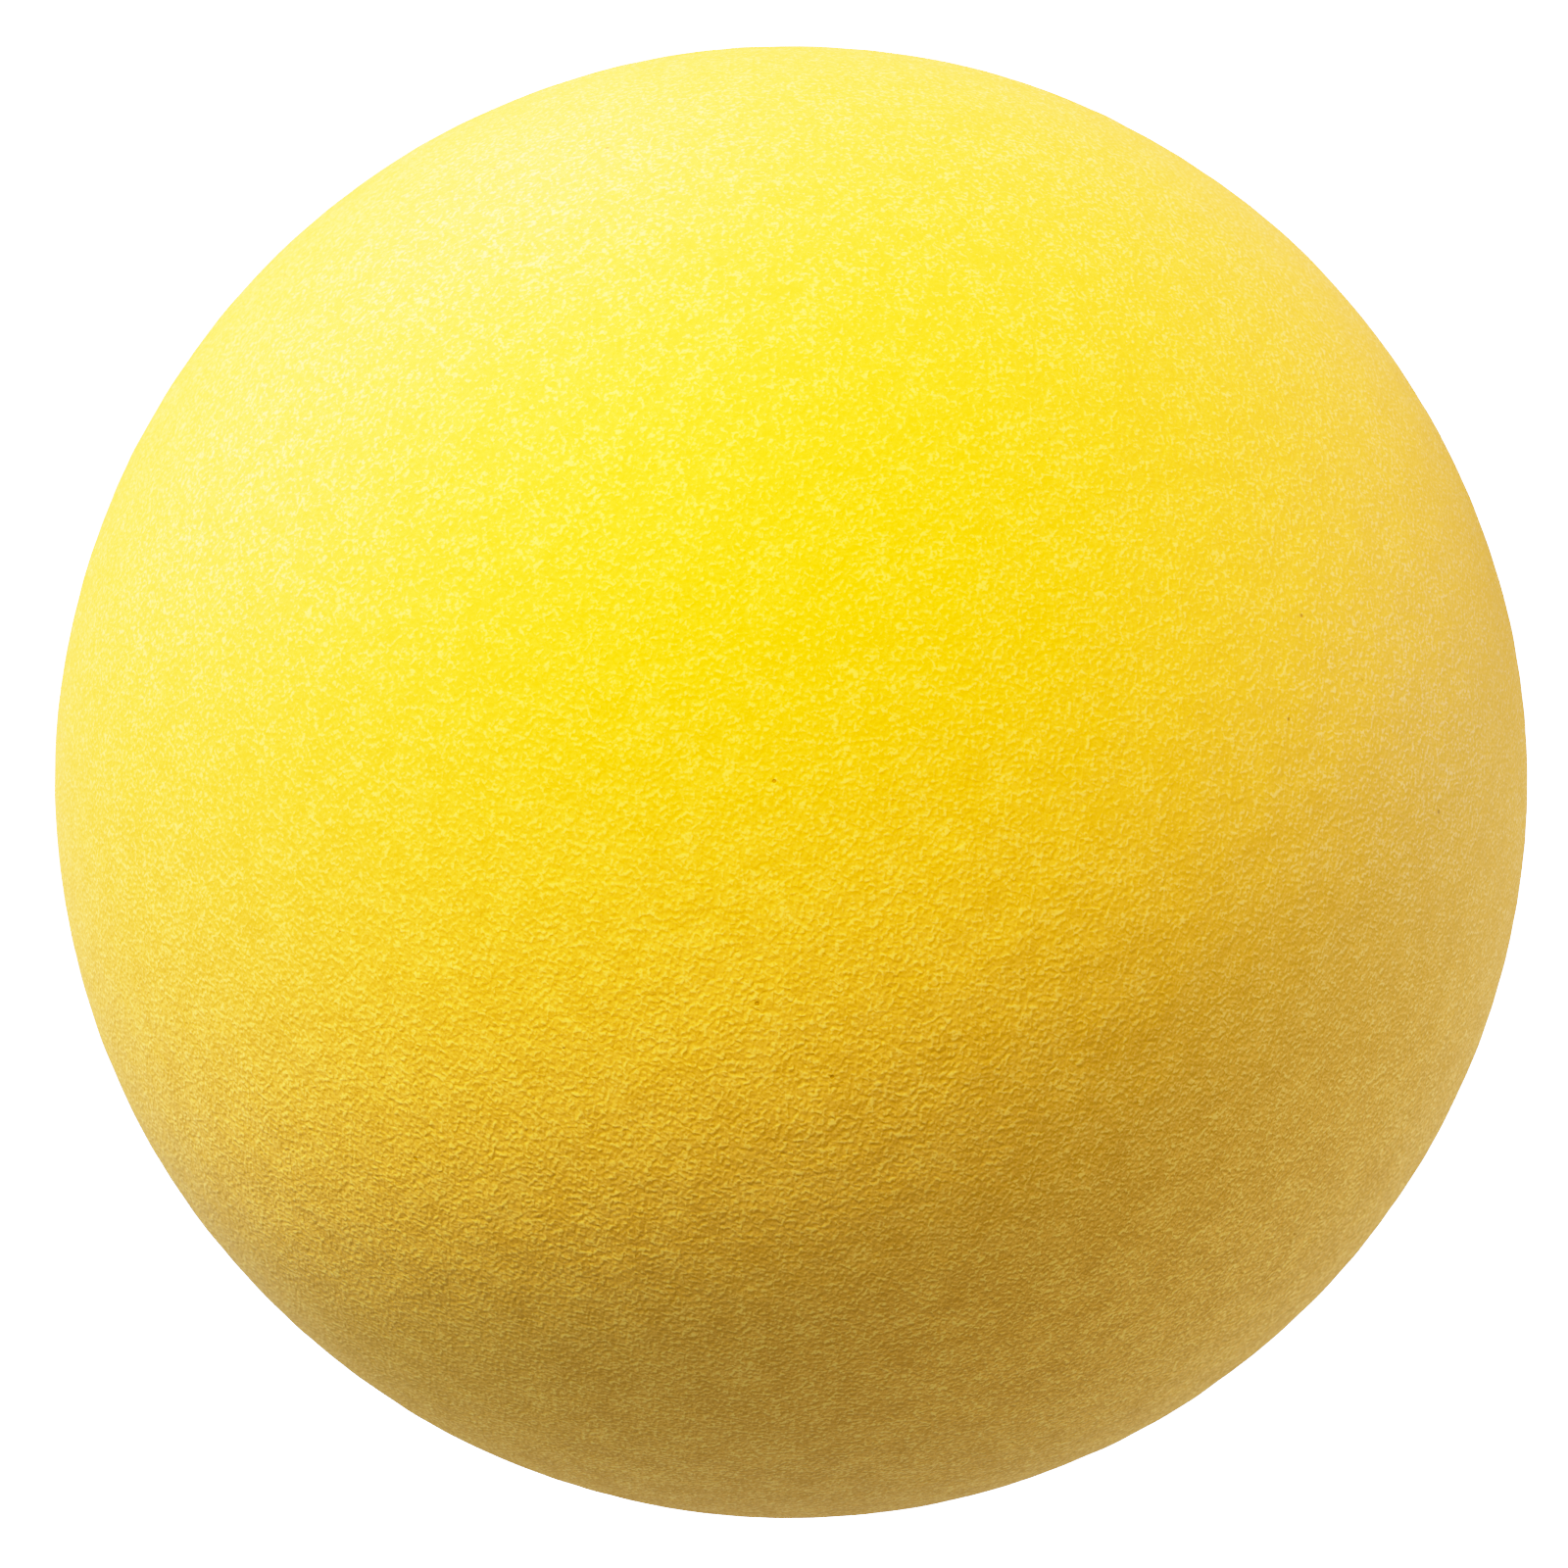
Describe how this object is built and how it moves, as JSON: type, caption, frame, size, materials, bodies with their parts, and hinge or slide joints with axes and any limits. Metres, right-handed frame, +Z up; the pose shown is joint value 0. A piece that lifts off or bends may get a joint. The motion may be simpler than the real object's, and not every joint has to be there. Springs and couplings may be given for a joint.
{
  "type": "stress ball",
  "caption": "Round soft foam ball with a matte fine-grained skin, squeezed in one hand to relieve tension or exercise the grip.",
  "frame": {"origin": "centre of the ball", "axes": "+Z straight up, away from the flat gate at the bottom; -Y towards the viewer; +X to the viewer's right"},
  "size_m": [0.07, 0.07, 0.0699],
  "materials": {
    "skin": "matte yellow polyurethane skin with a fine leathery grain",
    "foam": "cut face of soft yellow polyurethane foam, open fine cells"
  },
  "bodies": {
    "root": {"outer_skin": "skin", "foam_core": "foam"}
  },
  "joints": []
}
